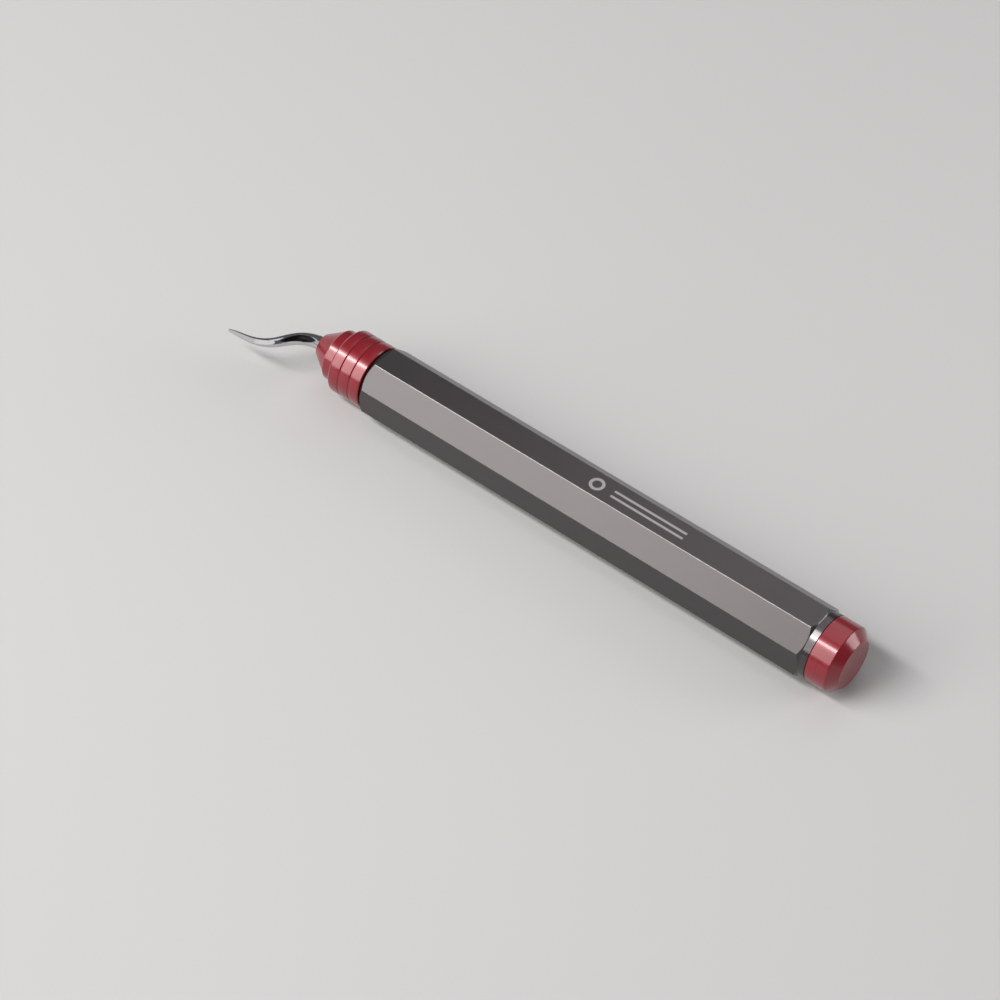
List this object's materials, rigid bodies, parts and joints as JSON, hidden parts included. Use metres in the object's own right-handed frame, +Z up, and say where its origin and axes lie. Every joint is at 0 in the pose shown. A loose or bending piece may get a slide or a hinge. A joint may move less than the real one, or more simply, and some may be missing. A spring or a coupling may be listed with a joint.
{
  "type": "swivel-blade deburring tool",
  "caption": "Pen-shaped deburring tool: octagonal barrel, swivelling S-shaped blade in a ball-lock nose with a sliding release collar, and a screw cap that stores a spare blade.",
  "frame": {"origin": "on the barrel's bottom flat, in the middle of its width and halfway along the barrel", "axes": "+X along the tool from the blade to the rear cap, +Z up, out of the barrel's top flat"},
  "size_m": [0.1534, 0.0173, 0.0148],
  "materials": {
    "black_anodised": "satin black anodised",
    "red_anodised": "glossy red anodised",
    "ground_steel": "ground and polished high-speed steel",
    "polished_steel": "polished bearing steel",
    "spring_steel": "bright zinc plated",
    "black_steel": "black oxide",
    "bronze": "turned bearing bronze",
    "black_rubber": "matt nitrile",
    "black_nylon": "fine moulded texture"
  },
  "bodies": {
    "tool_body": {"barrel": "black_anodised", "nose_cone": "red_anodised", "blade_holder": "spring_steel", "nose_bush": "bronze", "thrust_ball": "polished_steel", "collar_spring": "spring_steel", "collar_o_ring": "black_rubber", "holder_lock_screw": "black_steel"},
    "blade": {"swivel_blade": "ground_steel"},
    "collar": {"release_collar": "red_anodised", "spring_washer": "spring_steel"},
    "ball_top": {"lock_ball_top": "polished_steel"},
    "ball_left": {"lock_ball_left": "polished_steel"},
    "ball_right": {"lock_ball_right": "polished_steel"},
    "cap_seal": {"cap_o_ring": "black_rubber"},
    "cap": {"rear_cap": "red_anodised", "blade_carrier": "black_nylon", "carrier_washer": "spring_steel", "carrier_screw": "spring_steel", "spare_blade": "ground_steel"}
  },
  "joints": [
    {"name": "blade_swivel", "type": "hinge", "parent": "tool_body", "child": "blade", "pos_m": [-0.072, 0, 0.0074], "axis": [1, 0, 0], "continuous": true},
    {"name": "collar_slide", "type": "slide", "parent": "tool_body", "child": "collar", "axis": [-1, 0, 0], "range_m": [0, 0.002], "stiffness_N_per_m": 900, "springref_m": -0.0012, "deforming": ["collar_spring"]},
    {"name": "ball_top_lift", "type": "slide", "parent": "tool_body", "child": "ball_top", "axis": [0, 0, 1], "range_m": [0, 0.00045]},
    {"name": "ball_left_lift", "type": "slide", "parent": "tool_body", "child": "ball_left", "axis": [0, -0.866, -0.5], "range_m": [0, 0.00045]},
    {"name": "ball_right_lift", "type": "slide", "parent": "tool_body", "child": "ball_right", "axis": [0, 0.866, -0.5], "range_m": [0, 0.00045]},
    {"name": "cap_withdraw", "type": "slide", "parent": "tool_body", "child": "cap_seal", "axis": [1, 0, 0], "range_m": [0, 0.058]},
    {"name": "cap_turn", "type": "hinge", "parent": "cap_seal", "child": "cap", "pos_m": [0.0563, 0, 0.0074], "axis": [1, 0, 0], "range_deg": [0, 2160]}
  ],
  "couplings": [
    {"joint": "ball_top_lift", "follows": "collar_slide", "ratio": 0.225},
    {"joint": "ball_left_lift", "follows": "collar_slide", "ratio": 0.225},
    {"joint": "ball_right_lift", "follows": "collar_slide", "ratio": 0.225}
  ]
}
